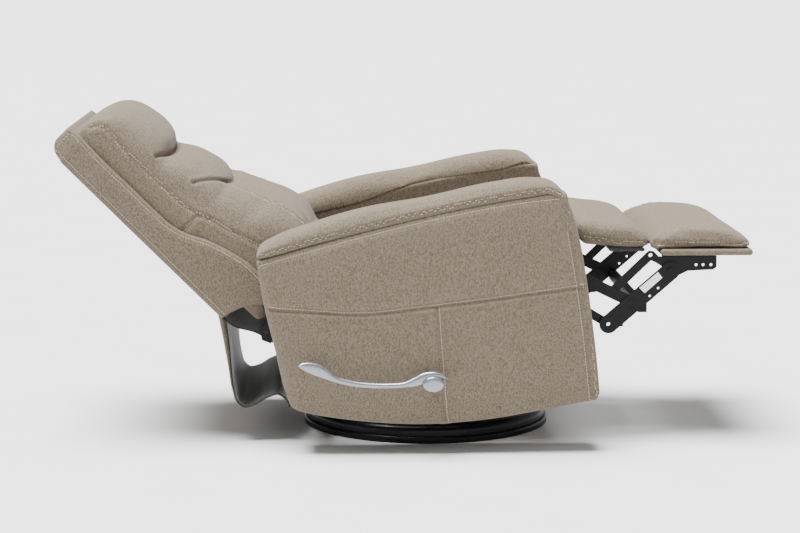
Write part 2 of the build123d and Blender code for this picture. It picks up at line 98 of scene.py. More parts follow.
CHAISE_SIDE = [
    (334, 507), (401, 506), (449, 500), (482, 487), (499, 468), (500, 451), (490, 447), (457, 446),
    (421, 448), (386, 454), (346, 460),
]
CHAISE_SEAM = [(350, 468), (386, 462), (421, 456), (457, 454), (490, 454)]
OTTOMAN_SIDE = [
    (500, 450), (502, 461), (516, 473), (548, 486), (600, 493), (645, 492), (690, 484), (717, 471),
    (731, 459), (734, 450), (724, 446), (660, 446), (590, 446), (520, 446),
]
TAIL_HALF = 258
TAIL = [
    (-486, 296), (-477, 250), (-465, 180), (-455, 118), (-446, 92), (-430, 79), (-404, 84), (-372, 102),
    (-350, 108), (-335, 97), (-326, 78),
]
SEAT_SIDE = [
    (-224, 436), (-228, 443), (-216, 450), (-160, 459), (-60, 470), (80, 485), (230, 500), (300, 506),
    (319, 500), (326, 484), (326, 458), (316, 447), (80, 441),
]
HANDLE_TOP = [
    (-303, 213), (-294, 219), (-276, 220), (-254, 215), (-236, 203), (-221, 190), (-188, 180), (-144, 174),
    (-100, 173), (-66, 176), (-47, 185), (-24, 196), (-2, 198), (18, 192), (30, 182),
]
HANDLE_X = -4
HANDLE_Z = 171
HUB_HALF_WIDTH = 23.3
HUB_HALF_HEIGHT = 17.2
HUB_FOOT_Y = -457.8
HUB_PROFILE = [
    (0, 0), (0.98, 0), (1.0, 1.5), (1.0, 5.5), (0.95, 7.6), (0.8, 8.8), (0.5, 9.3), (0.2, 9.4), (0.0, 9.4),
]
HANDLE_UNDER = [
    (-303, 212), (-289, 202), (-267, 192), (-245, 184), (-223, 176), (-205, 171), (-188, 167), (-144, 162),
    (-100, 161), (-62, 163), (-44, 165), (-22, 172), (-4, 180), (16, 184), (29, 181),
]


# ---------------------------------------------------------------- curves and meshes
def even(points, count):
    """The same line as count points evenly spaced along it."""
    steps = np.linalg.norm(np.diff(points, axis=0), axis=1)
    along = np.concatenate([[0], np.cumsum(steps)])
    wanted = np.linspace(0, along[-1], count)
    return np.stack([np.interp(wanted, along, points[:, k]) for k in range(points.shape[1])], axis=1)


def smooth(points, count):
    """A smooth curve through the points, as count points evenly spaced along it."""
    p = np.array(points, float)
    t = np.concatenate([[0], np.cumsum(np.linalg.norm(np.diff(p, axis=0), axis=1))])
    slope = np.gradient(p, t, axis=0)
    fine = np.linspace(0, t[-1], 30 * len(p))
    i = np.clip(np.searchsorted(t, fine, side="right") - 1, 0, len(p) - 2)
    h = (t[i + 1] - t[i])[:, None]
    s = (fine - t[i])[:, None] / h
    curve = (2 * s**3 - 3 * s**2 + 1) * p[i] + (s**3 - 2 * s**2 + s) * h * slope[i]
    curve += (3 * s**2 - 2 * s**3) * p[i + 1] + (s**3 - s**2) * h * slope[i + 1]
    return even(curve, count)


def height_of(points):
    """The curve as a function: the second coordinate at any value of the first."""
    curve = smooth(points, 400)
    if curve[0, 0] > curve[-1, 0]:
        curve = curve[::-1]
    return lambda x: np.interp(x, curve[:, 0], curve[:, 1])


def back_xz(u, v):
    """X and Z of a point of the reclined back, from its height u and depth v."""
    return (v - u) * math.sqrt(0.5), (u + v) * math.sqrt(0.5)


def make(name, verts_mm, faces):
    mesh = bpy.data.meshes.new(name)
    mesh.from_pydata((np.array(verts_mm) * MM).tolist(), [], faces)
    obj = bpy.data.objects.new(name, mesh)
    bpy.context.scene.collection.objects.link(obj)
    tidy_normals(obj)
    return obj


def tidy_normals(obj):
    b = bmesh.new()
    b.from_mesh(obj.data)
    bmesh.ops.remove_doubles(b, verts=b.verts, dist=0.00002)
    bmesh.ops.recalc_face_normals(b, faces=b.faces)
    b.to_mesh(obj.data)
    b.free()
    obj.data.shade_smooth()


def skin(name, rows, wrap=True, caps=False):
    """A mesh over a grid of points, in mm. Rows are joined round if wrap, and end in flat faces if caps."""
    nu, nv = rows.shape[:2]
    faces = []
    for i in range(nu - 1):
        for j in range(nv if wrap else nv - 1):
            k = (j + 1) % nv
            faces.append((i * nv + j, i * nv + k, (i + 1) * nv + k, (i + 1) * nv + j))
    if caps:
        faces.append(tuple(range(nv))[::-1])
        faces.append(tuple((nu - 1) * nv + j for j in range(nv)))
    return make(name, rows.reshape(-1, 3), faces)


def coords(obj):
    co = np.zeros(len(obj.data.vertices) * 3)
    obj.data.vertices.foreach_get("co", co)
    return co.reshape(-1, 3) / MM


def set_coords(obj, co):
    obj.data.vertices.foreach_set("co", (co * MM).ravel())
    obj.data.update()


def normals(obj):
    no = np.zeros(len(obj.data.vertices) * 3)
    obj.data.vertices.foreach_get("normal", no)
    return no.reshape(-1, 3)


def apply(obj, modifier):
    bpy.context.view_layer.objects.active = obj
    with bpy.context.temp_override(object=obj, active_object=obj, selected_objects=[obj]):
        bpy.ops.object.modifier_apply(modifier=modifier.name)


def remesh(obj, size_mm):
    m = obj.modifiers.new("even", "REMESH")
    m.mode = "VOXEL"
    m.voxel_size = size_mm * MM
    apply(obj, m)


def subdivide(obj, levels=1):
    m = obj.modifiers.new("finer", "SUBSURF")
    m.levels = levels
    apply(obj, m)
    obj.data.shade_smooth()


def relax(obj, rounds, factor=0.5):
    m = obj.modifiers.new("relax", "SMOOTH")
    m.iterations = rounds
    m.factor = factor
    apply(obj, m)


def away_from(points, path):
    """Distance of each point from the nearest point of the path."""
    tree = KDTree(len(path))
    for k, p in enumerate(path):
        tree.insert(p, k)
    tree.balance()
    return np.array([tree.find(p)[2] for p in points])


def puff(obj, voxel=7, cap=14, pressure=4.0, hold=None, finer=1):
    """Fills a soft piece: even mesh, cloth under a little inner pressure, a cap on each point's move."""
    remesh(obj, voxel)
    relax(obj, 3)
    rest = coords(obj)
    scene = bpy.context.scene
    cloth = obj.modifiers.new("filling", "CLOTH")
    s = cloth.settings
    s.quality = 5
    s.mass = 0.25
    s.tension_stiffness = 12
    s.compression_stiffness = 8
    s.shear_stiffness = 6
    s.bending_stiffness = 0.4
    s.use_pressure = True
    s.uniform_pressure_force = pressure
    s.effector_weights.gravity = 0
    cloth.collision_settings.use_collision = False
    if hold is not None:
        group = obj.vertex_groups.new(name="held")
        for k, w in enumerate(hold(rest)):
            if w > 0.02:
                group.add([k], float(min(w, 1)), "REPLACE")
        s.vertex_group_mass = "held"
    cloth.point_cache.frame_start = 1
    cloth.point_cache.frame_end = 20
    for f in range(1, 21):
        scene.frame_set(f)
    evaluated = obj.evaluated_get(bpy.context.evaluated_depsgraph_get())
    co = np.zeros(len(obj.data.vertices) * 3)
    evaluated.data.vertices.foreach_get("co", co)
    co = co.reshape(-1, 3) / MM
    obj.modifiers.remove(cloth)
    scene.frame_set(1)
    moved = co - rest
    length = np.linalg.norm(moved, axis=1, keepdims=True) + 1e-9
    set_coords(obj, rest + moved * (cap * np.tanh(length / cap) / length))
    relax(obj, 2)
    subdivide(obj, finer)
    return obj


def press(obj, path, depth, width, swell=0.35):
    """Presses a stitched channel along the path into the cloth, which swells a little on both sides of it."""
    co = coords(obj)
    no = normals(obj)
    d = away_from(co, surface_path(obj, path, 3.0)[0])
    move = -depth * np.exp(-(d / width) ** 2)
    move += depth * swell * np.exp(-((d - 2.4 * width) / (1.2 * width)) ** 2)
    move[d > 6 * width] = 0
    set_coords(obj, co + no * move[:, None])


def surface_path(obj, path, spacing):
    """The path laid on the mesh: points, directions and outward normals, evenly spaced."""
    tree = BVHTree.FromObject(obj, bpy.context.evaluated_depsgraph_get())
    length = np.linalg.norm(np.diff(path, axis=0), axis=1).sum()
    line = even(path, max(3, int(length / spacing)))
    spots, outs = [], []
    for p in line:
        found = tree.find_nearest(Vector(p * MM))
        spots.append(np.array(found[0]) / MM)
        outs.append(np.array(found[1]))
    spots = np.array(spots)
    return spots, np.gradient(spots, axis=0), np.array(outs)


def stitches(name, obj, paths, body, pitch=6.5, length=5.0, width=1.5, lift=0.2):
    """Rows of stitches lying on the cloth along the paths."""
    verts, faces = [], []
    around, rings = 6, 5
    for path in paths:
        spots, ways, outs = surface_path(obj, path, pitch)
        for p, t, n in zip(spots, ways, outs):
            size = np.linalg.norm(t)
            if size < 0.2 * pitch or size > 3 * pitch:
                continue
            t = t / size
            n = n - t * np.dot(n, t)
            n = n / (np.linalg.norm(n) + 1e-9)
            b = np.cross(t, n)
            base = len(verts)
            for i in range(rings):
                a = math.pi * (i + 0.5) / rings
                along = -math.cos(a) * length / 2
                r = width / 2 * math.sin(a) ** 0.5
                rise = lift + 0.35 * width * math.sin(a)
                for k in range(around):
                    c = 2 * math.pi * k / around
                    up = rise + r * math.sin(c) - width * 0.3
                    verts.append(p + t * along + b * (r * math.cos(c)) + n * up)
            for i in range(rings - 1):
                low = base + i * around
                for k in range(around):
                    q = (k + 1) % around
                    faces.append((low + k, low + q, low + around + q, low + around + k))
            faces.append(tuple(base + k for k in range(around))[::-1])
            faces.append(tuple(base + (rings - 1) * around + k for k in range(around)))
    thread = make(name, verts, faces)
    finish_piece(thread, THREAD, body)
    return thread


def finish_piece(obj, material, body=None, nodes=()):
    obj.data.materials.clear()
    obj.data.materials.append(material)
    if nodes:
        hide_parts(*nodes)
    if body:
        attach(obj, body)


# ---------------------------------------------------------------- materials
class Finish:
    """A small helper that builds one node material."""

    def __init__(self, name):
        self.material = bpy.data.materials.new(name)
        self.material.use_nodes = True
        self.tree = self.material.node_tree
        self.shader = self.tree.nodes["Principled BSDF"]
        self.where = self.node("ShaderNodeTexCoord").outputs["Object"]

    def node(self, kind):
        return self.tree.nodes.new(kind)

    def link(self, a, b):
        self.tree.links.new(a, b)

    def noise(self, scale, detail=2.0, rough=0.5, stretch=None):
        n = self.node("ShaderNodeTexNoise")
        n.inputs["Scale"].default_value = scale
        n.inputs["Detail"].default_value = detail
        n.inputs["Roughness"].default_value = rough
        self.link(self.stretched(stretch), n.inputs["Vector"])
        return n.outputs["Fac"]

    def stretched(self, stretch):
        if stretch is None:
            return self.where
        m = self.node("ShaderNodeMapping")
        m.inputs["Scale"].default_value = stretch
        self.link(self.where, m.inputs["Vector"])
        return m.outputs["Vector"]

    def cells(self, scale, stretch=None):
        n = self.node("ShaderNodeTexVoronoi")
        n.inputs["Scale"].default_value = scale
        self.link(self.stretched(stretch), n.inputs["Vector"])
        return n.outputs["Distance"]

    def ramp(self, value, stops):
        r = self.node("ShaderNodeValToRGB")
        while len(r.color_ramp.elements) < len(stops):
            r.color_ramp.elements.new(0.5)
        for e, (place, colour) in zip(r.color_ramp.elements, stops):
            e.position = place
            e.color = (*colour, 1)
        self.link(value, r.inputs["Fac"])
        return r.outputs["Color"]

    def mix(self, a, b, factor, how="MIX"):
        m = self.node("ShaderNodeMix")
        m.data_type = "RGBA"
        m.blend_type = how
        if isinstance(factor, float):
            m.inputs["Factor"].default_value = factor
        else:
            self.link(factor, m.inputs["Factor"])
        self.link(a, m.inputs["A"])
        self.link(b, m.inputs["B"])
        return m.outputs["Result"]

    def add(self, a, b, weight=1.0):
        m = self.node("ShaderNodeMath")
        m.operation = "MULTIPLY_ADD"
        self.link(b, m.inputs[0])
        m.inputs[1].default_value = weight
        self.link(a, m.inputs[2])
        return m.outputs[0]

    def bump(self, height, depth_mm, strength=1.0):
        b = self.node("ShaderNodeBump")
        b.inputs["Strength"].default_value = strength
        b.inputs["Distance"].default_value = depth_mm * MM
        self.link(height, b.inputs["Height"])
        self.link(b.outputs["Normal"], self.shader.inputs["Normal"])

    def colour(self, output):
        self.link(output, self.shader.inputs["Base Color"])

    def set(self, **values):
        for k, v in values.items():
            self.shader.inputs[k.replace("_", " ")].default_value = v


def linear(r, g, b):
    """Scene colour from an ordinary 0 to 255 colour."""
    return tuple(((c / 255 + 0.055) / 1.055) ** 2.4 if c > 10 else c / 255 / 12.92 for c in (r, g, b))


def shade(colour, k):
    return tuple(c * k for c in colour)


def woven(name, colour, fleck=0.32, sheen=0.08):
    """Heathered woven cloth: two sizes of fleck, a faint grain and a fine bumpy weave."""
    f = Finish(name)
    broad = f.ramp(f.noise(5, 3), [(0.35, shade(colour, 0.95)), (0.65, shade(colour, 1.05))])
    dark = shade(colour, fleck)
    heather_stops = [(0.41, dark), (0.51, colour), (0.61, shade(colour, 1.6))]
    grain_stops = [(0.4, dark), (0.5, colour), (0.6, shade(colour, 1.4))]
    heather = f.ramp(f.noise(520, 3, 0.75), heather_stops)
    grain = f.ramp(f.noise(300, 3, 0.7, (1, 1, 0.65)), grain_stops)
    mixed = f.mix(heather, grain, 0.5)
    f.colour(f.mix(mixed, broad, 0.25))
    height = f.add(f.cells(620), f.noise(900, 2), 0.8)
    f.bump(height, 0.5, 0.7)
    f.set(Roughness=0.95, Sheen_Weight=sheen, Sheen_Roughness=0.5, Specular_IOR_Level=0.12)
    return f.material


def lining(name, colour):
    f = Finish(name)
    stops = [(0.35, shade(colour, 0.7)), (0.65, shade(colour, 1.5))]
    f.colour(f.ramp(f.noise(350, 3, 0.6, (1, 0.25, 1)), stops))
    f.bump(f.add(f.cells(700), f.noise(60, 2), 1.5), 0.4, 0.6)
    f.set(Roughness=0.6, Sheen_Weight=0.5, Sheen_Roughness=0.35)
    return f.material


def coated(name, colour, rough=0.42, speckle=0.12, coat=0.0, metal=0.0, grain=1400, shine=0.5):
    """Painted, plated or moulded hard surface with slight unevenness."""
    f = Finish(name)
    stops = [(0.3, shade(colour, 1 - speckle)), (0.7, shade(colour, 1 + speckle))]
    f.colour(f.ramp(f.noise(30, 5, 0.6), stops))
    r = f.ramp(f.noise(90, 4), [(0.3, (rough - 0.06,) * 3), (0.7, (rough + 0.08,) * 3)])
    f.link(r, f.shader.inputs["Roughness"])
    f.bump(f.noise(grain, 2), 0.06, 0.5)
    f.set(Coat_Weight=coat, Metallic=metal, Specular_IOR_Level=shine)
    return f.material


def timber(name, colour):
    f = Finish(name)
    rings = f.noise(22, 6, 0.65, (0.25, 6, 1))
    f.colour(f.ramp(rings, [(0.3, shade(colour, 0.7)), (0.5, colour), (0.7, shade(colour, 1.2))]))
    f.bump(f.noise(300, 3, 0.5, (0.2, 3, 1)), 0.2, 0.5)
    f.set(Roughness=0.7)
    return f.material


CLOTH_COLOUR = linear(103, 93, 80)
FABRIC = woven("woven_taupe", CLOTH_COLOUR)
LINING = lining("tail_lining_black", linear(20, 20, 21))
THREAD = woven("thread_pale", linear(168, 154, 137), 0.85, 0.1)
BASE_FINISH = coated("base_black", linear(11, 10, 13), 0.33, shine=0.22)
BLACK_STEEL = coated("powder_black", linear(11, 11, 12), 0.42, shine=0.16)
BRIGHT_STEEL = coated("zinc_bright", linear(190, 190, 188), 0.32, 0.08, metal=1.0)
HANDLE_METAL = coated("satin_nickel", linear(136, 137, 146), 0.3, 0.06, coat=0.3, metal=0.85)
WOOD = timber("plywood", linear(188, 152, 108))
NYLON = coated("nylon", linear(206, 204, 196), 0.5)
BLACK_PLASTIC = coated("plastic_black", linear(14, 14, 15), 0.5, shine=0.25)
LABEL = coated("label_white", linear(232, 233, 232), 0.55, 0.03)
SLOT_FINISH = {
    "upholstery": FABRIC, "tail_lining": LINING, "thread": THREAD, "base_finish": BASE_FINISH,
    "black_steel": BLACK_STEEL, "bright_steel": BRIGHT_STEEL, "handle_metal": HANDLE_METAL, "wood": WOOD,
    "nylon": NYLON, "black_plastic": BLACK_PLASTIC, "label": LABEL,
}


def dress_nodes():
    """Every carried-over CAD node gets the finish of its material slot."""
    for name, obj in NODES.items():
        old = obj.data.materials[0].name if obj.data.materials else ""
        slot = next((s for s in SLOT_FINISH if old.startswith(s)), None)
        obj.data.materials.clear()
        obj.data.materials.append(SLOT_FINISH.get(slot, BLACK_STEEL))


# ---------------------------------------------------------------- arms
def arm_side(s, t):
    """X and Z on the arm's side: s from rear to front, t from bottom to the pad's seam."""
    n = 200
    k = np.linspace(0, 1, n)
    curves = [smooth(c, n) for c in (ARM_BOTTOM, PAD_SEAM, ARM_REAR, ARM_FRONT)]

    def at(curve, q):
        return np.stack([np.interp(q, k, curve[:, 0]), np.interp(q, k, curve[:, 1])], axis=-1)

    s1, t1 = s[..., None], t[..., None]
    bottom, top, rear, front = curves
    edges = (1 - t1) * at(bottom, s) + t1 * at(top, s) + (1 - s1) * at(rear, t) + s1 * at(front, t)
    corners = (1 - s1) * (1 - t1) * bottom[0] + s1 * (1 - t1) * bottom[-1]
    corners = corners + (1 - s1) * t1 * top[0] + s1 * t1 * top[-1]
    return edges - corners


def rounded_ring(x0, x1, y0, y1, radius_start, radius_end, spacing):
    """A closed rectangle in X-Y with rounded corners, evenly spaced."""
    points = []
    for cx, cy, r, a0 in (
        (x1, y0, radius_end, -90), (x1, y1, radius_end, 0),
        (x0, y1, radius_start, 90), (x0, y0, radius_start, 180),
    ):
        sx = -1 if cx == x1 else 1
        sy = -1 if cy == y1 else 1
        for a in np.radians(np.linspace(a0, a0 + 90, 9)):
            points.append((cx + sx * r + r * math.cos(a), cy + sy * r + r * math.sin(a)))
    points.append(points[0])
    p = np.array(points)
    length = np.linalg.norm(np.diff(p, axis=0), axis=1).sum()
    return even(p, int(length / spacing))[:-1]


def arm_cover(side_name, side):
    """The upholstered body of one arm: a closed shell from the lower edge to the pad's seam."""
    span = 680.0
    ring = rounded_ring(0, span, ARM_INNER_Y, ARM_OUTER_Y, 22, 13, 4.0)
    s, y = ring[:, 0] / span, ring[:, 1]
    inset = [58, 30, 12, 4, 1] + [0] * 104 + [1, 4, 10, 30, 58]
    lift = [4, 3, 1, 0, 0] + [0] * 104 + [1, 2, 3, 4, 4]
    t_rows = np.concatenate([[0, 0, 0, 0, 0.006], np.linspace(0.014, 0.99, 104), [1, 1, 1, 1, 1]])
    rows = []
    for d, up, t in zip(inset, lift, t_rows):
        k = 1 - d / 61
        s_in = 0.5 + (s - 0.5) * (1 - d / (span / 2))
        xz = arm_side(s_in, np.full_like(s_in, t))
        swell = (1 - (2 * t - 1) ** 8) - 0.5 * math.exp(-((1 - t) / 0.012) ** 2)
        across = (1 - (2 * s - 1) ** 6)
        outer = np.clip((y - ARM_MID_Y) / 55, 0, 1)
        y_in = ARM_MID_Y + (y - ARM_MID_Y) * k + 7 * swell * across * outer
        front = np.clip((s - 0.975) / 0.025, 0, 1) * (1 - ((y - ARM_MID_Y) / 70) ** 2)
        x = xz[:, 0] - 4 * front * swell * k
        rows.append(np.stack([x, side * y_in, xz[:, 1] + up], axis=1))
    return skin(f"arm_cover_{side_name}", np.array(rows), wrap=True)


def on_side(points, y, count=160):
    curve = smooth(points, count)
    return np.stack([curve[:, 0], np.full(count, float(y)), curve[:, 1]], axis=1)


def shifted(points, dx, dz):
    return [(x + dx, z + dz) for x, z in points]


def build_arm(side_name, side):
    cover = arm_cover(side_name, side)
    y = side * (ARM_OUTER_Y + 7)
    seam = on_side(PANEL_SEAM, y, 300)
    cross = on_side(PANEL_CROSS_SEAM, y, 120)
    under_pad = on_side(shifted(PAD_SEAM[:-1], 0, -9), side * ARM_OUTER_Y, 300)
    front_edge = on_side(shifted(ARM_FRONT[:-1], -16, 0), side * (ARM_OUTER_Y + 3), 200)
    channels = ((seam, 4.0, 4.0), (cross, 3.4, 4.0), (front_edge, 3.5, 4.0), (under_pad, 1.5, 4.0))
    for path, depth, width in channels:
        press(cover, path, depth, width)
    panels = ["arm_outer_panels", "arm_inner_panels", "arm_end_panels"]
    finish_piece(cover, FABRIC, "frame", panels)
    above = on_side(shifted(PANEL_SEAM, 0, 4.5), y, 300)
    beside = on_side(shifted(PANEL_CROSS_SEAM, 4.5, 0), y, 120)
    stitches(f"arm_cover_stitches_{side_name}", cover, [above, beside, under_pad], "frame")
    stitches(f"arm_front_stitches_{side_name}", cover, [front_edge - np.array([6.0, 0, 0])], "frame")
    build_arm_pad(side_name, side)


def build_arm_pad(side_name, side):
    """The stuffed strip along the top of an arm that turns down its front edge."""
    line = smooth(PAD_STRIP, 260)
    outer, inner = line[:, :2], line[:, 2:]
    along = np.concatenate([[0], np.cumsum(np.linalg.norm(np.diff(outer, axis=0), axis=1))])
    up = outer - inner
    height = np.linalg.norm(up, axis=1)
    up = up / height[:, None]
    edge = np.minimum(10, 0.4 * height)
    a = np.linspace(0, 2 * math.pi, 65)[:-1]
    c, s = np.cos(a), np.sin(a)
    rows = []
    for p, d, h, e, t in zip(inner, up, height, edge, along):
        rear = min(1.0, (t + 1) / 40)
        foot = min(1.0, (along[-1] - t + 2) / 12)
        half = PAD_HALF * (1 - (1 - rear) ** 2.4) ** (1 / 2.4) * (1 - 0.08 * (1 - foot) ** 2)
        y = half * np.sign(c) * np.abs(c) ** (2 / 3.4)
        y = np.where(s < 0, y * (1 - 0.07 * np.abs(s)), y)
        rise = np.where(s > 0, (h - e) * np.abs(s) ** (2 / 2.6), -(e + 2) * np.abs(s) ** 0.8)
        inside = np.clip(-y / 45, 0, 1) * np.clip(1 - rise / (h - e), 0, 1)
        drop = 36 * inside * rear * np.clip(h / 30 - 0.6, 0, 1)
        rise = rise + e - drop
        rows.append(np.stack([p[0] + d[0] * rise, side * (ARM_MID_Y + y), p[1] + d[1] * rise], axis=1))
    pad = skin(f"arm_pad_{side_name}", np.array(rows), wrap=True, caps=True)
    puff(pad, voxel=5, cap=4, pressure=2.0)
    reach = PAD_HALF + 4
    stitch = inner + up * (edge + 2)[:, None]
    dropped = stitch - up * (32 * np.clip(height / 30 - 0.6, 0, 1))[:, None]
    lines = []
    for curve, y in ((stitch, ARM_MID_Y + reach), (dropped, ARM_MID_Y - reach)):
        lines.append(np.stack([curve[:, 0], np.full(len(curve), side * y), curve[:, 1]], axis=1)[6:-2])
    for path in lines:
        press(pad, path, 1.8, 3.5)
    short = np.array([(-12 - k * 0.2, side * (ARM_MID_Y + reach), 541 + k) for k in np.linspace(0, 24, 12)])
    press(pad, short, 1.6, 3.0)
    finish_piece(pad, FABRIC, "frame", ["arm_top_pads"])
    stitches(f"arm_pad_stitches_{side_name}", pad, lines, "frame")


# ---------------------------------------------------------------- back
def back_rows(u, v, y):
    x, z = back_xz(u, v)
    return np.stack([x, y, z], axis=-1)


def build_outer_back():
    """The upholstered shell behind the back cushion, open below in an arch."""
    front = height_of(BACK_FRONT_EDGE)
    foot = height_of(BACK_FOOT)
    ring = rounded_ring(0, 100, -BACK_HALF, BACK_HALF, 10, 10, 4.5)
    depth = ring[:, 0] / 100
    y = ring[:, 1]
    rows = []
    t_rows = np.concatenate([np.linspace(0, 1, 130), [1, 1, 1, 1]])
    cap = [0] * 124 + [0.5, 1.2, 2.2, 3.5, 5.5, 8, 12, 24, 40, 56]
    for t, inset in zip(t_rows, cap):
        bottom_v = -18 - depth * 114
        low = foot(bottom_v)
        u = low + t * (1080 - low) + (min(inset, 8) / 8) * (12 if t > 0.99 else 0) * 0.9
        near_top = np.clip((t - 0.9) / 0.1, 0, 1)
        u = u - 20 * near_top * np.clip((depth - 0.55) / 0.45, 0, 1) ** 2
        v_front = front(u)
        v_rear = -131 - 13 * (1 - (y / BACK_HALF) ** 2) * np.sin(np.clip(t, 0, 1) * math.pi) ** 0.6
        d = depth + (0.5 - depth) * min(1.0, inset / 50)
        v = v_front + (v_rear - v_front) * d
        fullness = 3 * np.sin(np.clip(depth, 0, 1) * math.pi) * np.sin(t * math.pi)
        bulge = fullness * np.sign(y) * (np.abs(y) > 270)
        rows.append(back_rows(u, v, y * (1 - inset / 300) + bulge))
    shell = skin("outer_back_cover", np.array(rows), wrap=True)
    m = shell.modifiers.new("cloth", "SOLIDIFY")
    m.thickness = 3 * MM
    m.offset = -1
    apply(shell, m)
    paths = []
    for side in (1, -1):
        rear_edge = [back_xz(u, -119) for u in np.linspace(548, 1074, 60)]
        top_edge = [back_xz(1080, v) for v in np.linspace(-112, -72, 12)]
        front_edge = [back_xz(u, front(u) - 9) for u in np.linspace(1072, 520, 90)]
        for part in (rear_edge, top_edge, front_edge):
            p = np.array(part)
            paths.append(np.stack([p[:, 0], np.full(len(p), side * (BACK_HALF + 1.0)), p[:, 1]], axis=1))
    for path in paths:
        press(shell, path, 1.6, 4.0)
    panels = ["back_rear_panel", "back_side_panels", "back_top_panel"]
    finish_piece(shell, FABRIC, "backrest", panels)
    stitches("outer_back_stitches", shell, paths, "backrest")


def crease_line(u, y):
    """Height of a crease across the cushion: it curves up towards the sides."""
    rise = 24 if u > 800 else 62
    return u + rise * np.clip(np.abs(y) / 232, 0, 1.1) ** 2.2


def crease_depth(u, y):
    """How far the cushion's front is drawn in at the two cross creases, deepest in the middle."""
    fade = 1 - np.clip(np.abs(y) / 262, 0, 1) ** 3
    head = 22 * np.exp(-np.abs(u - crease_line(HEAD_CREASE, y)) / 13)
    low = 17 * np.exp(-np.abs(u - crease_line(LOW_CREASE, y)) / 13)
    return (head + low) * fade


def build_back_cushion():
    """One long cushion of three lobes: head, middle and lumbar, with a gusset down each side."""
    profile = height_of(HEAD + MIDDLE + LUMBAR)
    seam = height_of(CUSHION_SEAM)
    rows = []
    n = 120
    for u in np.linspace(476, 1073, 136):
        v_seam = float(seam(max(u, 512)))
        v_front = float(profile(max(u, 512)))
        v_front = max(v_front, v_seam + 1)
        top = np.clip((u - 1043) / 31, 0, 1)
        foot = np.clip((492 - u) / 17, 0, 1)
        half = CUSHION_HALF - 6 - 30 * (1 - math.sqrt(1 - top**2)) - 16 * (1 - math.sqrt(1 - foot**2))
        a = np.linspace(0, math.pi, n)
        y = half * np.sign(np.cos(a)) * np.abs(np.cos(a)) ** (2 / 3.4)
        v = v_seam + (v_front - v_seam) * np.abs(np.sin(a)) ** (2 / 2.8)
        centre_of_lumbar = np.clip((725 - u) / 30, 0, 1) * np.clip((185 - np.abs(y)) / 12, 0, 1)
        v = v - crease_depth(u, y) - 7 * centre_of_lumbar
        rear_v = CUSHION_BACK + 4
        back_v = np.linspace(v_seam, rear_v, 20)[1:]
        rear = np.linspace(-half, half, 60)[1:-1]
        ring_y = np.concatenate([y, np.full(19, -half), rear, np.full(19, half)])
        ring_v = np.concatenate([v, back_v, np.full(58, rear_v), back_v[::-1]])
        rows.append(back_rows(np.full(len(ring_y), float(u)), ring_v, ring_y))
    cushion = skin("back_cushion", np.array(rows), wrap=True, caps=True)
    creases = []
    for u in (HEAD_CREASE, LOW_CREASE):
        yy = np.linspace(-250, 250, 160)
        line_u = crease_line(u, yy)
        full = (1 - np.clip(np.abs(yy) / (CUSHION_HALF - 6), 0, 1) ** 3.4) ** (1 / 2.8)
        v = seam(line_u) + (profile(line_u) - seam(line_u)) * full - crease_depth(line_u, yy)
        creases.append(back_rows(line_u, v, yy))
    rear_line = np.array([math.sqrt(0.5), 0, math.sqrt(0.5)])

    def hold(co):
        near = np.exp(-(away_from(co, np.concatenate(creases)) / 10) ** 2)
        depth = co @ rear_line
        return np.maximum(near, np.clip((CUSHION_BACK + 14 - depth) / 8, 0, 1))

    puff(cushion, voxel=7, cap=12, pressure=3.0, hold=hold)
    for line in creases:
        press(cushion, line, 5, 4.5, 0.2)
    side_paths = []
    for side in (1, -1):
        u = np.linspace(1062, 560, 160)
        side_paths.append(back_rows(u, seam(u), np.full(160, side * (CUSHION_HALF + 2.0))))
        bolster_u = np.linspace(735, 540, 90)
        bolster_y = 178 + 26 * np.sin(np.linspace(0, math.pi / 2, 90))
        side_paths.append(back_rows(bolster_u, profile(bolster_u), side * bolster_y))
        tick_v = np.linspace(float(seam(745)), CUSHION_BACK + 10, 20)
        side_paths.append(back_rows(np.full(20, 745.0), tick_v, np.full(20, side * (CUSHION_HALF + 2.0))))
    for path in side_paths:
        press(cushion, path, 2.5, 5)
    lobes = ["back_cushion_head", "back_cushion_middle", "back_cushion_lumbar"]
    finish_piece(cushion, FABRIC, "backrest", lobes)
    stitches("back_cushion_stitches", cushion, side_paths, "backrest")


# ---------------------------------------------------------------- seat and footrest
def offset_outline(points, inset):
    """The closed outline drawn in by inset."""
    p = np.array(points)
    ahead = np.roll(p, -1, axis=0) - np.roll(p, 1, axis=0)
    ahead /= np.linalg.norm(ahead, axis=1, keepdims=True) + 1e-9
    inward = np.stack([-ahead[:, 1], ahead[:, 0]], axis=1)
    area = np.sum(p[:, 0] * np.roll(p[:, 1], -1) - np.roll(p[:, 0], -1) * p[:, 1])
    if area < 0:
        inward = -inward
    return p + inward * inset


def box_outline(x0, x1, z0, z1, r):
    """Side outline of a flat bar with rounded corners."""
    return [tuple(p) for p in rounded_ring(x0, x1, z0, z1, r, r, 6.0)]


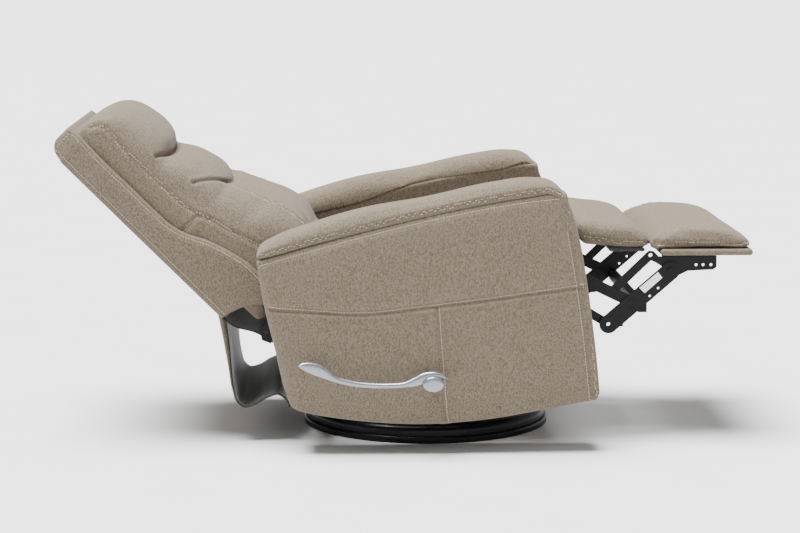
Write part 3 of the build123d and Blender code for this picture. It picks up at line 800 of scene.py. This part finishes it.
def pillow(name, outline, half, edge, crown=0.0, base=None, steps=110, count=140):
    """A stuffed block: a closed side outline carried across the chair, with rounded ends."""
    outline = list(outline)
    closed = smooth(outline[-3:] + outline + outline[:4], 1400)
    start = np.argmin(np.linalg.norm(closed - outline[0], axis=1)[:600])
    end = 800 + np.argmin(np.linalg.norm(closed[800:] - outline[0], axis=1))
    side = even(closed[start:end + 1], count + 1)[:-1]
    base = side[:, 1].min() if base is None else base
    q = np.sin(np.linspace(-math.pi / 2, math.pi / 2, steps))
    rows = []
    for y in q * half:
        over = max(0.0, abs(y) - (half - edge))
        inset = edge * (1 - math.sqrt(max(0.0, 1 - (over / edge) ** 2)))
        ring = offset_outline(side, inset)
        lower = 1 - crown * (abs(y) / half) ** 3
        z = base + (ring[:, 1] - base) * lower
        rows.append(np.stack([ring[:, 0], np.full(count, y), z], axis=1))
    return skin(name, np.array(rows), wrap=True, caps=True)


def build_seat():
    """Seat cushion between the arms, crowned, with a rolled front edge."""
    cushion = pillow("seat_cushion_cover", SEAT_SIDE, 281, 16)
    puff(cushion, voxel=8, cap=7, pressure=3.0)
    front = np.array([(308, y, 512) for y in np.linspace(-262, 262, 200)])
    press(cushion, front, 2.5, 5)
    finish_piece(cushion, FABRIC, "seat", ["seat_cushion"])
    stitches("seat_cushion_stitches", cushion, [front], "seat")


def build_board_covers():
    """Cloth over the two cross boards of the frame: upholstery in front, black lining behind."""
    front = pillow("front_board_cover", box_outline(203, 225, 94, 142, 4), 287, 4, steps=40)
    finish_piece(front, FABRIC, "frame", ["frame_cross_boards"])
    rear = pillow("rear_board_cover", box_outline(-252, -230, 98, 192, 4), 287, 4, steps=40)
    finish_piece(rear, LINING, "frame", ["frame_cross_boards"])


def build_chaise():
    """The padded flap that bridges the seat and the footrest."""
    pad = pillow("chaise_pad_cover", CHAISE_SIDE, 259, 18, crown=0.10)
    puff(pad, voxel=6, cap=4, pressure=2.5)
    seam = smooth(CHAISE_SEAM, 80)
    lower = [np.array([(x, side * 262, z) for x, z in seam]) for side in (1, -1)]
    for line in lower:
        press(pad, line, 2.0, 4)
    finish_piece(pad, FABRIC, None, ["chaise_pad"])
    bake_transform(pad)
    stitches("chaise_stitches", pad, lower, None)
    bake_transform(bpy.data.objects["chaise_stitches"])
    board = pillow("chaise_board_cover", box_outline(408, 491, 437, 445, 3), 251, 3, steps=50)
    finish_piece(board, LINING, "chaise", ["chaise_board"])


def build_ottoman():
    pad = pillow("ottoman_pad_cover", OTTOMAN_SIDE, 279, 20, crown=0.12, base=447)
    puff(pad, voxel=6, cap=5, pressure=2.8)
    edge_side = smooth([(512, 452), (560, 452), (640, 452), (700, 453), (724, 457), (735, 466)], 120)
    lines = [np.array([(x, side * 282, z) for x, z in edge_side]) for side in (1, -1)]
    for line in lines:
        press(pad, line, 2.2, 4)
    for side in (1, -1):
        for reach, rise in ((60, 26), (85, 12), (40, 34)):
            steps = np.linspace(0, 1, 30)
            fold = np.array([(504 + reach * k, side * (282 - 34 * k), 458 + rise * k) for k in steps])
            press(pad, fold, 1.6, 5, 0.8)
    finish_piece(pad, FABRIC, "ottoman", ["ottoman_pad"])
    stitches("ottoman_stitches", pad, lines, "ottoman")
    board = pillow("ottoman_board_cover", box_outline(524, 734, 430.5, 445, 5), 281, 5, steps=60, count=200)
    finish_piece(board, FABRIC, "ottoman", ["ottoman_board"])


# ---------------------------------------------------------------- loose cloth behind and below
def cloth_strip(name, line, half, offset, thickness=1.2):
    """A hanging strip of cloth: a line in X-Z carried across the chair, set off to one side of the line."""
    along = np.gradient(line, axis=0)
    along /= np.linalg.norm(along, axis=1, keepdims=True)
    side = np.stack([along[:, 1], -along[:, 0]], axis=1)
    middle = line + side * np.broadcast_to(offset, (len(line),))[:, None]
    ys = np.linspace(-half, half, 60)
    rows = [np.stack([np.full(60, x), ys, np.full(60, z)], axis=1) for x, z in middle]
    strip = skin(name, np.array(rows), wrap=False)
    m = strip.modifiers.new("thick", "SOLIDIFY")
    m.thickness = thickness * MM
    m.offset = 0
    apply(strip, m)
    return strip


def thick_strip(name, line, half, thick):
    """A soft strip with its outer face on the line and the given thickness inward along it."""
    along = np.gradient(line, axis=0)
    along /= np.linalg.norm(along, axis=1, keepdims=True)
    inward = np.stack([-along[:, 1], along[:, 0]], axis=1)
    rows = []
    for p, n, t in zip(line, inward, thick):
        r = min(t / 2, 4)
        ys = np.linspace(-half, half, 60)
        outer = np.clip((np.abs(ys) - (half - r)) / r, 0, 1)
        bend = (t / 2) * (1 - np.sqrt(1 - outer**2))
        ring_y = np.concatenate([ys, ys[::-1]])
        depth = np.concatenate([bend, (t - bend)[::-1]])
        rows.append(np.stack([p[0] + n[0] * depth, ring_y, p[1] + n[1] * depth], axis=1))
    return skin(name, np.array(rows), wrap=True, caps=True)


def build_tail():
    """The cloth that hangs from the foot of the back and runs in behind the base, lined in black."""
    line = smooth(TAIL, 121)
    cuts = ((0, 30), (30, 76), (76, 120))
    pieces = (
        ("upper", "backrest", "tail_upper", (-484, 0, 300), (-474, 0, 246)),
        ("middle", "tail_upper", "tail_middle", (-455, 0, 128), (-415, 0, 82)),
        ("lower", "tail_middle", "tail_lower", (-366, 0, 104), (-334, 0, 100)),
    )
    for (a, b), (label, body_a, body_b, start, end) in zip(cuts, pieces):
        part = line[a:b + 1]
        thick = np.interp(np.arange(a, b + 1), [0, 20, 45, 70, 120], [15, 12, 6, 4, 3.5])
        outside = thick_strip(f"tail_outside_{label}", part, TAIL_HALF, thick)
        finish_piece(outside, FABRIC, None, [f"tail_cloth_{label}"])
        inside = cloth_strip(f"tail_inside_{label}", part, TAIL_HALF - 2, -thick - 0.9)
        finish_piece(inside, LINING, None)
        for strip in (outside, inside):
            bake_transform(strip)


def build_back_lining():
    """Black cloth under the arch of the back, running forward to the frame."""
    line = smooth([(-474, 288), (-451, 271), (-402, 256), (-350, 226), (-318, 208)], 60)
    strip = cloth_strip("back_lining", line, 262, 0)
    finish_piece(strip, LINING, None)
    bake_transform(strip)


# ---------------------------------------------------------------- lever
def build_lever():
    """Pull handle: a slim curved bar with a paddle tip and a hook over the oval hub."""
    top = smooth(HANDLE_TOP, 90)
    low = smooth(HANDLE_UNDER, 90)
    a = np.linspace(0, 2 * math.pi, 29)[:-1]
    rows = []
    for k, (p, q) in enumerate(zip(top, low)):
        mid, half = (p + q) / 2, (p - q) / 2
        thick = 6.2 - 2.5 * np.exp(-((k - 18) / 12) ** 2)
        c, s = np.cos(a), np.sin(a)
        c = np.sign(c) * np.abs(c) ** 0.8
        s = np.sign(s) * np.abs(s) ** 0.8
        rows.append(np.stack([mid[0] + half[0] * s, -452 + thick * c, mid[1] + half[1] * s], axis=1))
    bar = skin("lever_bar", np.array(rows), wrap=True, caps=True)
    finish_piece(bar, HANDLE_METAL, "lever", ["lever_handle"])
    rows = []
    for r, out in HUB_PROFILE:
        x = HANDLE_X + HUB_HALF_WIDTH * r * np.cos(a)
        z = HANDLE_Z + HUB_HALF_HEIGHT * r * np.sin(a)
        rows.append(np.stack([x, np.full(28, HUB_FOOT_Y - out), z], axis=1))
    hub = skin("lever_hub", np.array(rows), wrap=True)
    finish_piece(hub, HANDLE_METAL, "lever", ["lever_cap"])


# ---------------------------------------------------------------- studio
def area_light(name, place, target, size, power):
    data = bpy.data.lights.new(name, "AREA")
    data.shape = "SQUARE"
    data.size = size
    data.energy = power
    obj = bpy.data.objects.new(name, data)
    obj.location = place
    obj.rotation_euler = (Vector(target) - Vector(place)).to_track_quat("-Z", "Y").to_euler()
    bpy.context.scene.collection.objects.link(obj)


def build_studio():
    corners = [(x * FLOOR_HALF, y * FLOOR_HALF, 0) for x, y in ((-1, -1), (1, -1), (1, 1), (-1, 1))]
    floor = make("studio_floor", corners, [(0, 1, 2, 3)])
    f = Finish("floor_white")
    f.colour(f.ramp(f.noise(3, 2), [(0.3, (0.63, 0.63, 0.63)), (0.7, (0.65, 0.65, 0.65))]))
    f.set(Roughness=0.85, Specular_IOR_Level=0.2)
    floor.data.materials.append(f.material)
    world = bpy.data.worlds.new("studio")
    bpy.context.scene.world = world
    world.use_nodes = True
    world.node_tree.nodes["Background"].inputs["Color"].default_value = (1, 1, 1, 1)
    world.node_tree.nodes["Background"].inputs["Strength"].default_value = SKY_STRENGTH
    sun = bpy.data.lights.new("key", "SUN")
    sun.energy = KEY_STRENGTH
    sun.angle = math.radians(KEY_SPREAD_DEG)
    key = bpy.data.objects.new("key", sun)
    key.rotation_euler = Vector(KEY_AIM).to_track_quat("-Z", "Y").to_euler()
    bpy.context.scene.collection.objects.link(key)
    area_light("fill", (-1.5, -3.0, 2.2), (0, 0, 0.4), 1.6, 4)


def build_camera():
    back = Vector(CAMERA_BACK).normalized()
    data = bpy.data.cameras.new("camera")
    data.lens = CAMERA_LENS_MM
    data.sensor_width = 36
    data.clip_end = 100
    cam = bpy.data.objects.new("camera", data)
    cam.location = Vector(CAMERA_AIM_AT) + back * CAMERA_DISTANCE
    cam.rotation_mode = "QUATERNION"
    cam.rotation_quaternion = (-back).to_track_quat("-Z", "Y")
    bpy.context.scene.collection.objects.link(cam)
    bpy.context.scene.camera = cam


dress_nodes()
for side_name, side in SIDES:
    build_arm(side_name, side)
build_outer_back()
build_back_cushion()
build_seat()
build_board_covers()
build_chaise()
build_ottoman()
build_tail()
build_back_lining()
build_lever()
build_studio()
build_camera()
